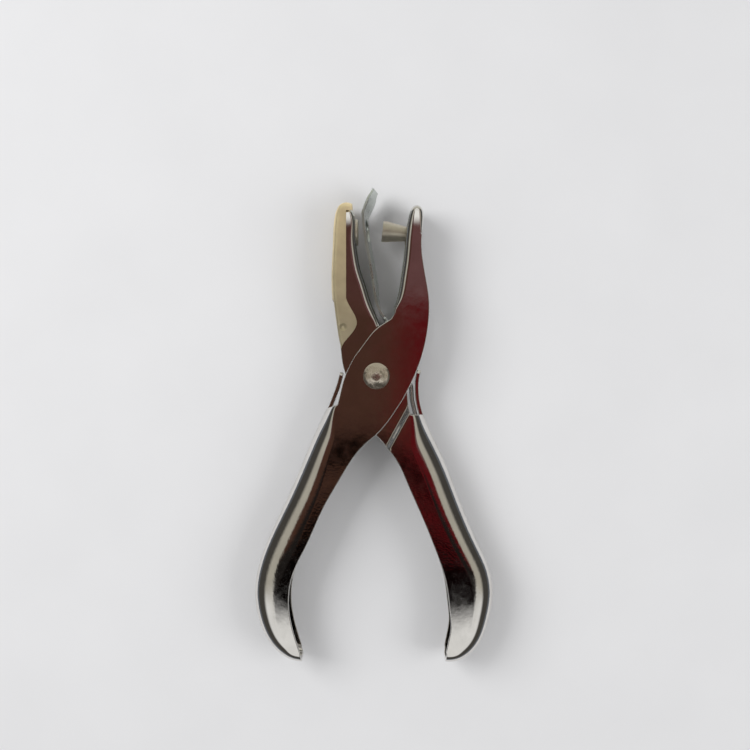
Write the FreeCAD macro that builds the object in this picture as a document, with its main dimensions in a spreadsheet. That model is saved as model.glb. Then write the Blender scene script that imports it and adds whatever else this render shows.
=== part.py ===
"""Hand-held single-hole paper punch of the plier kind, opened by a torsion spring.

Two stamped channel levers cross at a rivet.  The punch lever (upper right jaw, lower left
handle) is the outer one at the rivet, and the die lever (upper left jaw, lower right handle)
nests inside it.  Millimetres.  The tool lies on its side: +Y runs from the rivet to the jaws,
+X to the punch side, +Z up through the rivet.  The origin is on the rivet's axis, on the flat
rear head that the tool lies on.
"""
import FreeCAD
import Part
import math
import os

from FreeCAD import Vector

DRIVING_SIZES = [
    ("sheet_gauge", 1.2, "thickness of the lever sheet"),
    ("outer_width", 13.1, "width of the punch lever and of both handles, across the cheeks"),
    ("cheek_gap", 0.15, "running gap between the cheeks of the two levers"),
    ("handle_bend", 5.0, "outside bend radius at the top of the handle backs"),
    ("tip_bend", 2.6, "outside bend radius at the handle tips"),
    ("jaw_bend", 1.4, "outside bend radius of the jaws"),
    ("tongue_width", 6.6, "width of the web tongues beside the rivet"),
    ("joggle_run", 1.6, "length over which the die handle steps out to full width"),
    ("jaw_reach", 44.0, "rivet to the line of the punch"),
    ("jaw_nose", 7.6, "line of the punch to the top of the punch jaw"),
    ("jaw_spread", 16.0, "rivet to the widest point of the punch jaw"),
    ("handle_reach", 86.5, "rivet to the handle tips"),
    ("handle_spread", 36.8, "rivet to the widest point of the punch handle"),
    ("rivet_shank", 5.0, "diameter of the rivet shank"),
    ("rivet_head", 7.9, "diameter of the domed rivet head"),
    ("rivet_dome", 1.4, "height of the domed rivet head"),
    ("rear_head", 7.4, "diameter of the flat rear head"),
    ("rear_height", 0.9, "height of the flat rear head"),
    ("pivot_play", 0.05, "radial running clearance on the rivet and at the tray's dimples"),
    ("bush_wall", 0.7, "wall of the spacer bush"),
    ("bush_play", 0.1, "end play of the spacer bush between the die lever's cheeks"),
    ("wire_size", 1.3, "diameter of the spring wire"),
    ("wire_gap", 0.15, "gap between spring turns, and half that from spring to bush"),
    ("leg_gap", 0.45, "gap from the spring's legs to the webs that they push"),
    ("spring_coils", 3.0, "whole turns in the spring coil"),
    ("punch_size", 6.35, "diameter of the punched hole"),
    ("punch_length", 7.1, "free length of the punch pin"),
    ("punch_land", 1.2, "straight length behind the pin's cutting rim"),
    ("punch_cup", 0.6, "depth of the hollow in the pin's end"),
    ("punch_neck", 4.5, "diameter of the pin where it meets the jaw"),
    ("pin_shank", 3.4, "diameter of the pin's riveted shank"),
    ("pin_rivet", 4.6, "diameter of the pin's peened end"),
    ("pin_peen", 0.7, "thickness of the pin's peened end"),
    ("die_play", 0.2, "radial clearance of the punch in the die"),
    ("die_wall", 0.65, "wall of the die bush"),
    ("die_proud", 0.75, "height of the die bush above the jaw's face"),
    ("die_tail", 0.4, "length of the die bush behind the jaw's web"),
    ("stroke_past", 0.8, "travel of the punch past the die's face"),
    ("strip_gauge", 0.8, "thickness of the stripper strip"),
    ("strip_width", 10.0, "width of the stripper strip"),
    ("strip_play", 0.35, "radial clearance of the punch in the strip"),
    ("tab_play", 0.05, "clearance of the strip's tabs in their slots"),
    ("tray_gauge", 0.5, "thickness of the chip tray's sheet"),
    ("tray_gap", 0.1, "gap between the chip tray and the die lever's cheeks"),
    ("tray_bend", 1.5, "outside bend radius of the chip tray"),
    ("dimple_size", 1.8, "diameter of the chip tray's dimples inside"),
    ("dimple_bite", 0.6, "height of the dimples"),
    ("dent_size", 2.4, "diameter of the dents over the dimples"),
    ("dent_depth", 0.45, "depth of the dents"),
]

DERIVED_SIZES = [
    ("inner_width", "=outer_width - 2 * sheet_gauge - 2 * cheek_gap", "width of the die lever at the rivet"),
    ("middle", "=rear_height + outer_width / 2", "height of the tool's middle plane"),
    ("tray_width", "=inner_width + 2 * tray_gap + 2 * tray_gauge", "width of the chip tray"),
]

doc = FreeCAD.newDocument("hole_punch")
sheet = doc.addObject("Spreadsheet::Sheet", "Sizes")


def fill_sheet():
    rows = [(name, str(value), note) for name, value, note in DRIVING_SIZES]
    rows += DERIVED_SIZES
    for row, (name, text, note) in enumerate(rows, 1):
        sheet.set(f"A{row}", note)
        sheet.set(f"B{row}", text)
        sheet.setAlias(f"B{row}", name)
    doc.recompute()


def size(name):
    return float(sheet.get(name))


def bind(thing, **expressions):
    """Ties properties to the sheet; a double underscore in a name stands for a dot."""
    for name, text in expressions.items():
        thing.setExpression(name.replace("__", "."), text)
    return thing


def make(kind, name, **properties):
    thing = doc.addObject(kind, name)
    for key, value in properties.items():
        setattr(thing, key, value)
    return thing


# Curves of the outlines

def jaw(side, reach):
    """A point on a jaw, as shares of the jaws' spread and reach."""
    return Vector(side * size("jaw_spread"), reach * size("jaw_reach"), 0)


def nose(side, above):
    """A point near a jaw's tip, as shares of the spread and of the rise above the punch's line."""
    return Vector(side * size("jaw_spread"), size("jaw_reach") + above * size("jaw_nose"), 0)


def handle(side, depth):
    """A point on a handle, as shares of the handles' spread and reach."""
    return Vector(side * size("handle_spread"), -depth * size("handle_reach"), 0)


def smooth(points):
    curve = Part.BSplineCurve()
    curve.interpolate(points)
    return curve


def beside(curve, distance, count=16):
    """The curve drawn again at a distance to its left."""
    points = []
    for step in range(count + 1):
        at = curve.FirstParameter + (curve.LastParameter - curve.FirstParameter) * step / count
        along = curve.tangent(at)[0]
        points.append(curve.value(at) + Vector(-along.y, along.x, 0) * distance)
    return smooth(points)


def ends(curve):
    return curve.value(curve.FirstParameter), curve.value(curve.LastParameter)


def along(curve, share):
    """The point on a curve at a share of its length."""
    return curve.value(curve.FirstParameter + (curve.LastParameter - curve.FirstParameter) * share)


def lap(curve):
    """Two points over which a tongue laps into the web that carries it on."""
    return [ends(curve)[0], along(curve, 0.04)]


def closed(sketch, pieces):
    """Draws curves and corner points, in order, as one closed line."""
    stops = []
    for piece in pieces:
        first, last = (piece, piece) if isinstance(piece, Vector) else ends(piece)
        if stops and not stops[-1].isEqual(first, 1e-6):
            sketch.addGeometry(Part.LineSegment(stops[-1], first), False)
        if not isinstance(piece, Vector):
            sketch.addGeometry(piece, False)
        stops += [first, last]
    if not stops[-1].isEqual(stops[0], 1e-6):
        sketch.addGeometry(Part.LineSegment(stops[-1], stops[0]), False)
    return sketch


def slab(name, pieces, width, lift="0"):
    """An outline extruded to a width about the middle plane, or about a plane lifted from it."""
    base = closed(make("Sketcher::SketchObject", name + "_outline"), pieces)
    bind(base, Placement__Base__z=f"Sizes.middle + ({lift}) - ({width}) / 2")
    solid = make("Part::Extrusion", name, Base=base, DirMode="Custom", Dir=UP, Solid=True)
    return bind(solid, LengthFwd=width)


def bent(name, solid, curve, start_radius, end_radius):
    """Rounds the two long edges of a slab that run along a curve."""
    doc.recompute()
    start, end = ends(curve)
    picked = []
    for index, edge in enumerate(solid.Shape.Edges, 1):
        first = edge.valueAt(edge.FirstParameter)
        last = edge.valueAt(edge.LastParameter)
        if first.distanceToPoint(start + UP * first.z) + last.distanceToPoint(end + UP * last.z) < 1e-4:
            picked.append((index, start_radius, end_radius))
        elif first.distanceToPoint(end + UP * first.z) + last.distanceToPoint(start + UP * last.z) < 1e-4:
            picked.append((index, end_radius, start_radius))
    return make("Part::Fillet", name, Base=solid, Edges=picked)


def fuse(name, shapes):
    return make("Part::MultiFuse", name, Shapes=shapes, Refine=False)


def cut(name, base, tool):
    return make("Part::Cut", name, Base=base, Tool=tool)


def round_bar(name, radius, height, place, axis):
    """A cylinder with its radius and height tied to the sheet, from a place along an axis."""
    turn = FreeCAD.Rotation(Vector(0, 0, 1), axis)
    bar = make("Part::Cylinder", name, Placement=FreeCAD.Placement(place, turn))
    return bind(bar, Radius=radius, Height=height)


def turned(name, profile, place, axis):
    """A profile of (radius, distance along the axis) points and curves turned round the axis."""
    pieces = [Vector(*piece, 0) if isinstance(piece, tuple) else piece for piece in profile]
    sketch = closed(make("Sketcher::SketchObject", name + "_profile"), pieces)
    solid = make("Part::Revolution", name, Source=sketch, Axis=Vector(0, 1, 0), Solid=True, Angle=360)
    solid.Placement = FreeCAD.Placement(place, FreeCAD.Rotation(Vector(0, 1, 0), axis))
    return solid


UP = Vector(0, 0, 1)
fill_sheet()
GAUGE = size("sheet_gauge")
LAP = size("sheet_gauge") / 5
MIDDLE = size("middle")

# Backs, webs and free edges of the two levers, each drawn from the rivet outwards

PUNCH_BACK = smooth([handle(-0.407, 0.112), handle(-0.546, 0.239), handle(-0.712, 0.408),
                     handle(-0.853, 0.535), handle(-0.967, 0.661), handle(-1.0, 0.755),
                     handle(-0.970, 0.845), handle(-0.875, 0.935), handle(-0.745, 0.985),
                     handle(-0.612, 1.0)])
PUNCH_GRIP = smooth([handle(-0.608, 0.990), handle(-0.671, 0.904), handle(-0.709, 0.832),
                     handle(-0.715, 0.770), handle(-0.688, 0.699), handle(-0.571, 0.590),
                     handle(-0.432, 0.460), handle(-0.288, 0.353), handle(-0.114, 0.247),
                     handle(0.014, 0.199), handle(0.130, 0.138), handle(0.215, 0.083)])
DIE_BACK = smooth([handle(0.391, 0.134), handle(0.448, 0.197), handle(0.541, 0.281),
                   handle(0.698, 0.451), handle(0.845, 0.596), handle(0.924, 0.672),
                   handle(0.957, 0.765), handle(0.922, 0.852), handle(0.846, 0.936),
                   handle(0.731, 0.985), handle(0.565, 1.0)])
DIE_GRIP = smooth([handle(0.562, 0.990), handle(0.592, 0.921), handle(0.609, 0.877),
                   handle(0.601, 0.822), handle(0.560, 0.705), handle(0.500, 0.627),
                   handle(0.375, 0.494), handle(0.250, 0.373), handle(0.188, 0.314),
                   handle(0.095, 0.255), handle(0.0, 0.209)])

PUNCH_WEB = smooth([jaw(0.325, 0.468), jaw(0.3812, 0.52), jaw(0.4594, 0.67), jaw(0.5125, 0.807),
                    nose(0.5563, -0.079), nose(0.5938, 0.408), nose(0.6312, 0.711), nose(0.675, 0.908),
                    nose(0.7625, 1.0), nose(0.85, 0.908), nose(0.8875, 0.697), nose(0.8844, 0.342),
                    nose(0.8625, -0.145)])
PUNCH_RIM = smooth([nose(0.8625, -0.145), jaw(0.85, 0.9), jaw(0.875, 0.791), jaw(0.9375, 0.655),
                    jaw(0.9875, 0.535), jaw(0.9938, 0.45), jaw(0.95, 0.286), jaw(0.85, 0.13),
                    jaw(0.6687, -0.039), handle(0.215, 0.083)])
DIE_WEB = smooth([jaw(0.0688, 0.343), jaw(-0.0169, 0.428), jaw(-0.1125, 0.515), jaw(-0.2125, 0.634),
                  jaw(-0.3031, 0.739), jaw(-0.3656, 0.87), nose(-0.3906, -0.263), nose(-0.3937, 0.263),
                  nose(-0.4188, 0.645), nose(-0.475, 0.868), nose(-0.5687, 0.961), nose(-0.6562, 0.882),
                  nose(-0.7063, 0.671), nose(-0.725, 0.368)])
DIE_RIM = smooth([nose(-0.725, 0.368), nose(-0.7375, 0.0), jaw(-0.7562, 0.9), jaw(-0.775, 0.76),
                  jaw(-0.7781, 0.6), jaw(-0.7625, 0.5), jaw(-0.7312, 0.39), jaw(-0.6937, 0.27),
                  jaw(-0.6625, 0.145), jaw(-0.6312, 0.07), jaw(-0.575, 0.0), jaw(-0.5062, -0.09),
                  jaw(-0.375, -0.205), handle(-0.082, 0.162), handle(0.0, 0.209)])

# Edges of the cheeks beside the rivet, and the line where the die handle steps out

PUNCH_CREST = smooth([jaw(0.2812, 0.393), jaw(0.1688, 0.366), jaw(0.0125, 0.327), jaw(-0.1375, 0.268),
                      jaw(-0.2938, 0.191), jaw(-0.425, 0.125), jaw(-0.5188, 0.059), jaw(-0.6, -0.01),
                      jaw(-0.65, -0.073), jaw(-0.7312, -0.195)])
DIE_CREST = smooth([jaw(0.6, -0.19), jaw(0.5813, -0.09), jaw(0.5563, 0.034), jaw(0.4938, 0.148),
                    jaw(0.4, 0.241), jaw(0.2875, 0.314), jaw(0.1688, 0.352), jaw(0.0688, 0.343)])
PUNCH_TONGUE = smooth([jaw(-0.6938, 0.027), jaw(-0.7375, -0.041), jaw(-0.8188, -0.127)]
                      + lap(beside(PUNCH_BACK, LAP)))
DIE_TONGUE = smooth([jaw(0.85, 0.036), jaw(0.8094, -0.027), jaw(0.8031, -0.091), jaw(0.8188, -0.168)]
                    + lap(beside(DIE_BACK, -LAP)))
FOOT_LOW = handle(0.071, 0.244)
FOOT_HIGH = ends(DIE_CREST)[0]
TRAY_PIVOT = jaw(-0.625, 0.334)
TRAY_WEB = smooth([jaw(-0.8281, 0.52), jaw(-0.8438, 0.6), jaw(-0.8406, 0.76), jaw(-0.8187, 0.93),
                   nose(-0.7937, 0.421), nose(-0.7562, 0.776), nose(-0.6813, 1.026), nose(-0.5687, 1.105),
                   nose(-0.4562, 1.039)])
EAR_EDGE = smooth([jaw(-0.5719, 0.535), jaw(-0.4688, 0.456), jaw(-0.3875, 0.398), jaw(-0.3688, 0.364),
                   jaw(-0.4062, 0.323), jaw(-0.6562, 0.186)])
EAR_BACK = smooth([jaw(-0.6813, 0.186), jaw(-0.725, 0.25), jaw(-0.7562, 0.32), jaw(-0.7937, 0.418),
                   jaw(-0.8281, 0.52)])
STRIP_LINE = smooth([nose(-0.2125, 0.671), nose(-0.1875, -0.039), jaw(-0.0938, 0.801), jaw(-0.0019, 0.561),
                     jaw(0.0169, 0.507), jaw(0.0625, 0.4545), jaw(0.1187, 0.416), jaw(0.1719, 0.392),
                     jaw(0.2062, 0.36), jaw(0.2125, 0.286)])
STRIP_TIP = nose(-0.0219, 1.658)
FAR = 60.0


def shell(name, outer, hollow, width, gauge, inner_curve, outer_curve, radii):
    """A channel: a rounded slab less one a gauge smaller, left sharp inside a tight bend."""
    body = bent(name + "_skin", slab(name + "_block", outer, width), outer_curve, *radii)
    core = slab(name + "_space", hollow, f"({width}) - 2 * Sizes.{gauge}")
    core_radii = [radius - size(gauge) for radius in radii]
    if min(core_radii) > size(gauge) / 2:
        core = bent(name + "_core", core, inner_curve, *core_radii)
    return cut(name, body, core)


def cheeks(name, pieces, width, gauge):
    """Two flat plates of one outline, one at each side of a width."""
    lift = f"(({width}) - ({gauge})) / 2"
    near = slab(name + "_near", pieces, gauge, lift)
    far = slab(name + "_rear", pieces, gauge, f"-{lift}")
    return [near, far]


def tongue(name, curve, inset):
    back = beside(curve, inset)
    back.reverse()
    return slab(name, [curve, back], "Sizes.tongue_width")


def across(name, place, axis, radius, length):
    """A round tool centred on a place, along an axis."""
    start = place - axis * (length / 2)
    return round_bar(name, radius, f"{length} mm", start, axis)


def seat(curve, place, side):
    """The point of a web level with a place, and the web's normal there, to the left or right."""
    for _ in range(12):
        at = curve.parameter(place)
        place = Vector(curve.value(at).x, place.y, 0)
    way = curve.tangent(at)[0]
    return curve.value(at), Vector(way.y, -way.x, 0) * side


def lifted(place):
    """A point of the outlines moved up to the middle plane."""
    return Vector(place.x, place.y, MIDDLE)


def punch_lever():
    bends = [size("handle_bend"), size("tip_bend")]
    core = beside(PUNCH_BACK, GAUGE)
    top, low = ends(core)
    shoulder = ends(PUNCH_CREST)[1]
    handle_shell = shell(
        "punch_handle", [PUNCH_BACK, PUNCH_GRIP, shoulder],
        [core, low + handle(0.04, -0.23), Vector(FAR, 0, 0), top + handle(-0.14, -0.14)],
        "Sizes.outer_width", "sheet_gauge", core, PUNCH_BACK, bends)
    core = beside(PUNCH_WEB, -GAUGE, 28)
    start, end = ends(core)
    jaw_shell = shell(
        "punch_jaw", [PUNCH_WEB, PUNCH_RIM],
        [core, end + Vector(FAR, 0, 0), Vector(FAR, -FAR, 0), Vector(-FAR, -FAR, 0),
         Vector(-FAR, start.y, 0)],
        "Sizes.outer_width", "sheet_gauge", core, PUNCH_WEB, [size("jaw_bend")] * 2)
    inside = shoulder + handle(0.027, 0.046)
    plates = cheeks("punch_cheek", [PUNCH_CREST, inside, ends(PUNCH_RIM)[1], ends(PUNCH_WEB)[0]],
                    "Sizes.outer_width", "Sizes.sheet_gauge")
    blank = fuse("punch_lever_blank",
                 [handle_shell, jaw_shell, tongue("punch_tongue", PUNCH_TONGUE, GAUGE)] + plates)
    rivet_hole = across("punch_rivet_hole", lifted(Vector()), UP, "Sizes.rivet_shank / 2", FAR)
    place, way = lifted(PIN_SEAT[0]), PIN_SEAT[1]
    pin_hole = across("pin_hole", place, way, "Sizes.pin_shank / 2", 2 * size("pin_rivet"))
    face = round_bar("pin_face", "Sizes.punch_neck / 2 + Sizes.tab_play", "Sizes.punch_neck / 2", place, way)
    back = round_bar("pin_back", "Sizes.pin_rivet / 2 + Sizes.tab_play", "Sizes.sheet_gauge",
                     place - way * GAUGE, way * -1)
    return cut("punch_lever", blank, fuse("punch_lever_tools", [rivet_hole, pin_hole, face, back]))


def joggle(region):
    """The sloping stretch of each cheek where the die handle steps out to full width."""
    line = (FOOT_HIGH - FOOT_LOW).normalize()
    off = Vector(line.y, -line.x, 0)
    run = size("joggle_run")
    inner = size("inner_width") / 2
    outer = size("outer_width") / 2
    section = [Vector(0, inner - GAUGE, 0), Vector(0, inner, 0), Vector(run, outer, 0),
               Vector(run, outer - GAUGE, 0)]
    sketch = closed(make("Sketcher::SketchObject", "joggle_section"), section)
    sketch.Placement = FreeCAD.Placement(lifted(FOOT_LOW - line * 5), FreeCAD.Rotation(off, UP, line * -1))
    near = make("Part::Extrusion", "joggle_near", Base=sketch, DirMode="Custom", Dir=line,
                LengthFwd=FAR, Solid=True)
    rear = make("Part::Mirroring", "joggle_rear", Source=near, Base=lifted(Vector()), Normal=UP)
    return [make("Part::Common", f"joggle_{side}_trimmed", Base=ramp,
                 Tool=slab(f"joggle_{side}_region", region, "Sizes.outer_width"))
            for side, ramp in (("near", near), ("rear", rear))]


def step_trim():
    """Everything on the rivet's side of the joggle's upper line, as a tool."""
    line = (FOOT_HIGH - FOOT_LOW).normalize()
    off = Vector(line.y, -line.x, 0)
    corner = FOOT_LOW + off * size("joggle_run")
    near, far = corner - line * FAR, corner + line * FAR
    return slab("joggle_trim", [near, far, far - off * FAR, near - off * FAR], "Sizes.outer_width + 2")


def die_lever():
    bends = [size("handle_bend"), size("tip_bend")]
    core = beside(DIE_BACK, -GAUGE)
    top, low = ends(core)
    region = [DIE_BACK, DIE_GRIP, FOOT_HIGH, handle(0.307, 0.134)]
    handle_shell = shell(
        "die_handle", region,
        [core, low + handle(-0.04, -0.23), Vector(-FAR, 0, 0), top + handle(0.14, -0.14)],
        "Sizes.outer_width", "sheet_gauge", core, DIE_BACK, bends)
    handle_end = cut("die_handle_end", handle_shell, step_trim())
    core = beside(DIE_WEB, GAUGE, 28)
    start, end = ends(core)
    jaw_shell = shell(
        "die_jaw", [DIE_WEB, DIE_RIM],
        [core, end - Vector(FAR, 0, 0), Vector(-FAR, -FAR, 0), Vector(FAR, -FAR, 0),
         Vector(FAR, start.y, 0)],
        "Sizes.inner_width", "sheet_gauge", core, DIE_WEB, [size("jaw_bend")] * 2)
    plates = cheeks("die_cheek", [DIE_CREST, handle(-0.054, 0.0), ends(DIE_RIM)[1], FOOT_LOW],
                    "Sizes.inner_width", "Sizes.sheet_gauge")
    blank = fuse("die_lever_blank", [handle_end, jaw_shell, tongue("die_tongue", DIE_TONGUE, -GAUGE)]
                 + plates + joggle(region))
    rivet_hole = across("die_rivet_hole", lifted(Vector()), UP,
                        "Sizes.rivet_shank / 2 + Sizes.pivot_play", FAR)
    dimples = across("dimple_holes", lifted(TRAY_PIVOT), UP,
                     "Sizes.dimple_size / 2 + Sizes.pivot_play", FAR)
    bush_hole = across("bush_hole", lifted(DIE_SEAT[0]), DIE_SEAT[1],
                       "Sizes.punch_size / 2 + Sizes.die_play + Sizes.die_wall", 4 * GAUGE)
    slots = strip_layer("strip_slots", size("tab_play"), "Sizes.outer_width", *TAB_SPAN)
    return cut("die_lever", blank, fuse("die_lever_tools", [rivet_hole, dimples, bush_hole, slots]))


def strip_layer(name, margin, width, low, high):
    """The strip's bent outline at a width, kept between two heights."""
    half = size("strip_gauge") / 2 + margin
    right = beside(STRIP_LINE, half)
    left = beside(STRIP_LINE, -half)
    left.reverse()
    lean = (STRIP_TIP - ends(STRIP_LINE)[0]).normalize()
    aside = Vector(lean.y, -lean.x, 0) * half
    layer = slab(name + "_layer", [STRIP_TIP + aside, right, left, STRIP_TIP - aside], width)
    window = [Vector(-FAR, low - margin, 0), Vector(FAR, low - margin, 0),
              Vector(FAR, high + margin, 0), Vector(-FAR, high + margin, 0)]
    return make("Part::Common", name, Base=layer, Tool=slab(name + "_window", window, "Sizes.outer_width"))


def stripper_strip():
    neck = jaw(0.0, 0.38).y
    foot_width = "Sizes.inner_width - 2 * Sizes.sheet_gauge - 2 * Sizes.tab_play"
    blade = strip_layer("strip_blade", 0, "Sizes.strip_width", neck, size("jaw_reach") + FAR)
    foot = strip_layer("strip_foot", 0, foot_width, 0, neck + size("strip_gauge"))
    tabs = strip_layer("strip_tabs", 0, "Sizes.inner_width", *TAB_SPAN)
    blank = fuse("strip_blank", [blade, foot, tabs])
    hole = across("strip_hole", Vector(0, PIN_TIP.Length, MIDDLE), Vector(1, 0, 0),
                  "Sizes.punch_size / 2 + Sizes.strip_play", FAR)
    return cut("stripper_strip", blank, hole)


def punch_pin():
    length = size("punch_length")
    shank_end = -GAUGE
    peen_end = shank_end - size("pin_peen")
    rim = size("punch_size") / 2
    profile = [(0, peen_end), (size("pin_rivet") / 2, peen_end), (size("pin_rivet") / 2, shank_end),
               (size("pin_shank") / 2, shank_end), (size("pin_shank") / 2, 0),
               (size("punch_neck") / 2, 0), (rim, length - size("punch_land")), (rim, length),
               (0, length - size("punch_cup"))]
    return turned("punch_pin", profile, lifted(PIN_SEAT[0]), PIN_SEAT[1])


def die_bush():
    bore = size("punch_size") / 2 + size("die_play")
    outside = bore + size("die_wall")
    back = -GAUGE - size("die_tail")
    front = size("die_proud")
    bevel = size("die_wall") / 3
    profile = [(bore, back), (outside, back), (outside, front - bevel), (outside - bevel, front),
               (bore, front)]
    return turned("die_bush", profile, lifted(DIE_SEAT[0]), DIE_SEAT[1])


def pivot_rivet():
    shank = size("rivet_shank") / 2
    head = size("rivet_head") / 2
    rear = size("rear_head") / 2
    low = size("rear_height")
    top = low + size("outer_width")
    crown = top + size("rivet_dome")
    edge = size("rivet_dome") / 5
    sphere = (head ** 2 + (crown - top - edge) ** 2) / (2 * (crown - top - edge))
    half = math.asin(head / sphere) / 2
    shoulder = Vector(sphere * math.sin(half), crown - sphere + sphere * math.cos(half), 0)
    dome = Part.Arc(Vector(head, top + edge, 0), shoulder, Vector(0, crown, 0))
    profile = [(0, 0), (rear - low / 3, 0), (rear, low / 3), (rear, low), (shank, low), (shank, top),
               (head, top), dome]
    return turned("pivot_rivet", profile, Vector(), UP)


def pivot_bush():
    bore = size("rivet_shank") / 2 + size("pivot_play")
    outside = bore + size("bush_wall")
    half = size("inner_width") / 2 - GAUGE - size("bush_play")
    profile = [(bore, -half), (outside, -half), (outside, half), (bore, half)]
    return turned("pivot_bush", profile, lifted(Vector()), UP)


def wire_run(points, radius):
    """A round wire along straight runs, with a ball at each corner."""
    pieces = []
    for first, last in zip(points, points[1:]):
        run = last - first
        pieces.append(Part.makeCylinder(radius, run.Length, first, run))
        pieces.append(Part.makeSphere(radius, last))
    return pieces


def return_spring():
    wire = size("wire_size") / 2
    gap = size("wire_gap")
    coil = size("rivet_shank") / 2 + size("pivot_play") + size("bush_wall") + 2 * gap + wire
    pitch = size("wire_size") + gap
    inset = GAUGE + size("leg_gap") + wire
    punch_end = along(beside(PUNCH_BACK, inset), 0.13)
    beside_tongue = beside(DIE_TONGUE, -inset)
    die_points = [along(beside_tongue, share) for share in (0.28, 0.52, 0.86)]
    die_points.append(along(beside(DIE_BACK, -inset), 0.09))
    start = math.atan2(punch_end.y, punch_end.x) - math.acos(coil / punch_end.Length)
    stop = math.atan2(die_points[0].y, die_points[0].x) + math.acos(coil / die_points[0].Length)
    turns = size("spring_coils") + ((start - stop) / (2 * math.pi)) % 1
    height = pitch * turns
    helix = Part.makeHelix(pitch, height, coil, 0, True)
    ring = Part.Wire(Part.makeCircle(wire, Vector(coil, 0, 0), Vector(0, -1, pitch / (2 * math.pi * coil))))
    body = Part.Wire(helix.Edges).makePipeShell([ring], True, True)
    body.rotate(Vector(), UP, math.degrees(start))
    low = MIDDLE - height / 2
    body.translate(Vector(0, 0, low))
    first = Vector(coil * math.cos(start), coil * math.sin(start), low)
    last = Vector(coil * math.cos(stop), coil * math.sin(stop), low + height)
    punch_leg = [first, Vector(punch_end.x, punch_end.y, first.z)]
    die_leg = [last] + [Vector(point.x, point.y, last.z) for point in die_points]
    knuckles = [Part.makeSphere(wire, first), Part.makeSphere(wire, last)]
    spring = make("Part::Feature", "return_spring")
    spring.Shape = body.fuse(knuckles + wire_run(punch_leg, wire) + wire_run(die_leg, wire)).removeSplitter()
    return spring


def chip_tray():
    core = beside(TRAY_WEB, -size("tray_gauge"), 28)
    start, end = ends(core)
    lip = ends(TRAY_WEB)[1]
    flange = ends(EAR_EDGE)[0]
    under = Vector(lip.x, lip.y - size("tray_bend") - size("tray_gauge"), 0)
    channel = shell(
        "tray", [TRAY_WEB, under, Vector(flange.x, under.y, 0), EAR_EDGE, EAR_BACK],
        [core, end + Vector(FAR, FAR / 2, 0), Vector(FAR, 0, 0), Vector(-FAR, 0, 0),
         Vector(-FAR, start.y, 0)],
        "Sizes.tray_width", "tray_gauge", core, TRAY_WEB, [size("tray_bend")] * 2)
    depth = size("dent_depth")
    ball = ((size("dent_size") / 2) ** 2 + depth ** 2) / (2 * depth)
    bumps, dents = [], []
    for side, way in (("near", UP), ("rear", UP * -1)):
        face = lifted(TRAY_PIVOT) + way * (size("tray_width") / 2)
        inside = face - way * size("tray_gauge")
        bumps.append(round_bar(f"dimple_{side}", "Sizes.dimple_size / 2",
                               "Sizes.dimple_bite + Sizes.tray_gap", inside, way * -1))
        dents.append(make("Part::Sphere", f"dent_{side}", Radius=ball,
                          Placement=FreeCAD.Placement(face + way * (ball - depth), FreeCAD.Rotation())))
    return cut("chip_tray", fuse("tray_blank", [channel] + bumps), fuse("tray_dents", dents))


# Where the pin sits on its jaw, and where its rim meets the die as the jaws close

PIN_SEAT = seat(PUNCH_WEB, nose(0.5563, -0.079), -1)
PIN_TIP = PIN_SEAT[0] + PIN_SEAT[1] * size("punch_length")
FACE_X = seat(DIE_WEB, nose(-0.3937, 0.0), 1)[0].x + size("die_proud")
DIE_HEIGHT = math.sqrt(PIN_TIP.Length ** 2 - (FACE_X - size("stroke_past") / 2) ** 2)
DIE_SEAT = seat(DIE_WEB, Vector(FACE_X, DIE_HEIGHT, 0), 1)
TAB_SPAN = (jaw(0.0, 0.294).y, jaw(0.0, 0.32).y)

NODES = [punch_lever, die_lever, punch_pin, die_bush, pivot_rivet, pivot_bush, return_spring,
         stripper_strip, chip_tray]


def closing_angle():
    """Degrees from the open rest until the pin's rim has passed the die's face."""
    past = FACE_X - size("stroke_past")
    return math.degrees(math.asin(-past / PIN_TIP.Length) + math.atan2(PIN_TIP.x, PIN_TIP.y))


def check():
    bad = [thing.Name for thing in doc.Objects if {"Invalid", "Error"} & set(thing.State)]
    if bad:
        raise RuntimeError("not built: " + ", ".join(bad))


def main():
    parts = [(node.__name__, node()) for node in NODES]
    doc.recompute()
    check()
    os.makedirs("parts", exist_ok=True)
    for name, part in parts:
        part.Label = name
        shape = part.Shape
        if shape.isNull() or not shape.isValid() or not shape.Solids:
            raise RuntimeError(f"{name} has no valid shape")
    for name, part in parts:
        shape = part.Shape
        print(name, len(shape.Solids), round(shape.Volume, 1), "mm3")
        shape.exportStep(f"parts/{name}.step")
    print("closing angle", round(closing_angle(), 2), "tray pivot", TRAY_PIVOT)


main()
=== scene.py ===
import bmesh
import bpy
import math
import numpy as np
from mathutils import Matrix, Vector
from mathutils.geometry import delaunay_2d_cdt


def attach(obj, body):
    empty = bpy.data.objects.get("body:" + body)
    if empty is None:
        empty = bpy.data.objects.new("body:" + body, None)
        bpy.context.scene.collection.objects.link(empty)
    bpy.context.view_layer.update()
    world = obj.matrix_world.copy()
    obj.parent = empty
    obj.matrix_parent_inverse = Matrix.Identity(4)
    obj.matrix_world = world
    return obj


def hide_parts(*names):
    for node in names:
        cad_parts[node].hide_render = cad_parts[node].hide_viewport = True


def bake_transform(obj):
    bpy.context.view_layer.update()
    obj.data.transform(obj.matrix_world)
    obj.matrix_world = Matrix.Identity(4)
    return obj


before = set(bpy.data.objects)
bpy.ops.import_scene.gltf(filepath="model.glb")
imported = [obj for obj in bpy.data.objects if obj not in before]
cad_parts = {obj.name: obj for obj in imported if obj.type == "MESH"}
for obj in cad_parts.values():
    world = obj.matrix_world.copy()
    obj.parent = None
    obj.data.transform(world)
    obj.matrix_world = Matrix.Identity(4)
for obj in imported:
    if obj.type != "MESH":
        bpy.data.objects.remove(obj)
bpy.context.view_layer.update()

# Sizes in millimetres, the same as in the solids

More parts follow.
